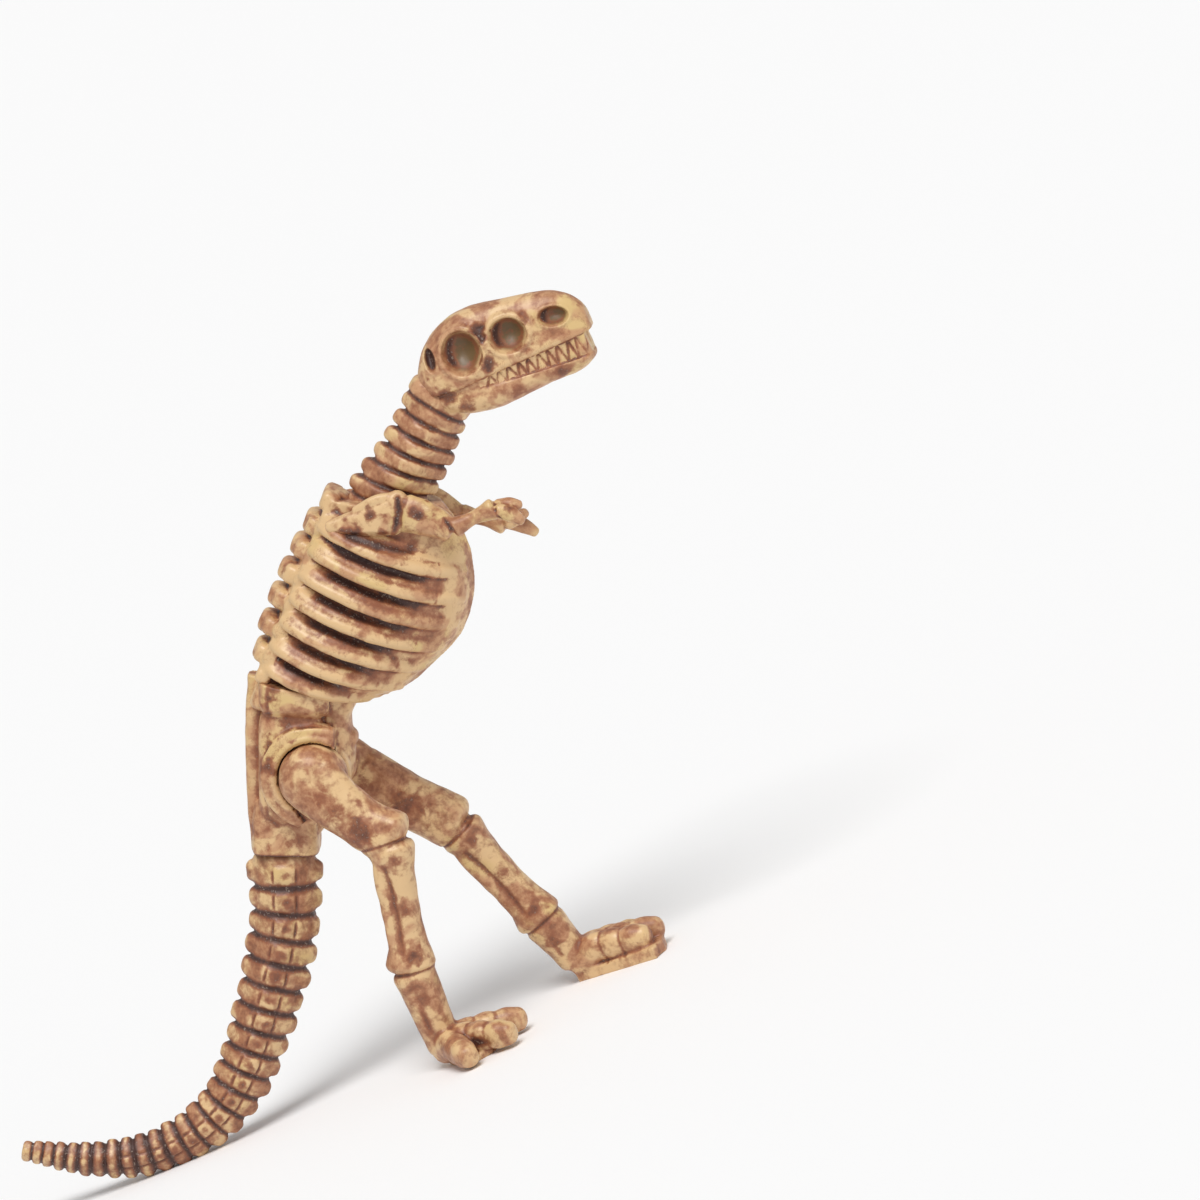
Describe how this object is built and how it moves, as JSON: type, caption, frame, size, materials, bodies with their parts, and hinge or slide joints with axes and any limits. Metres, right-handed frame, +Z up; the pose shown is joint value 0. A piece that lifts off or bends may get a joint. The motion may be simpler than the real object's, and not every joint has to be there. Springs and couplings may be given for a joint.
{
  "type": "toy dinosaur skeleton figure",
  "caption": "Moulded plastic skeleton of a large two-legged meat-eating dinosaur, standing on both feet and its tail, with legs that swivel at the hips.",
  "frame": {"origin": "bottom centre of the whole figure, on the surface it stands on", "axes": "+X towards the snout, +Y towards the animal's left, +Z up"},
  "size_m": [0.1764, 0.0502, 0.1391],
  "materials": {
    "washed_plastic": "cream moulded vinyl with a brown wash rubbed into its grooves, satin"
  },
  "bodies": {
    "trunk": {"skull": "washed_plastic", "lower_jaw": "washed_plastic", "neck": "washed_plastic", "backbone": "washed_plastic", "ribs_right": "washed_plastic", "ribs_left": "washed_plastic", "arm_right": "washed_plastic", "arm_left": "washed_plastic", "pelvis": "washed_plastic", "tail_base": "washed_plastic", "tail_middle": "washed_plastic", "tail_tip": "washed_plastic"},
    "leg_right": {"thigh_right": "washed_plastic", "shin_right": "washed_plastic", "foot_right": "washed_plastic"},
    "leg_left": {"thigh_left": "washed_plastic", "shin_left": "washed_plastic", "foot_left": "washed_plastic"}
  },
  "joints": [
    {"name": "hip_right", "type": "hinge", "parent": "trunk", "child": "leg_right", "pos_m": [-0.0005, -0.01, 0.0641], "axis": [0, 1, 0], "range_deg": [-20, 20]},
    {"name": "hip_left", "type": "hinge", "parent": "trunk", "child": "leg_left", "pos_m": [-0.0005, 0.012, 0.0641], "axis": [0, 1, 0], "range_deg": [-20, 20]}
  ]
}
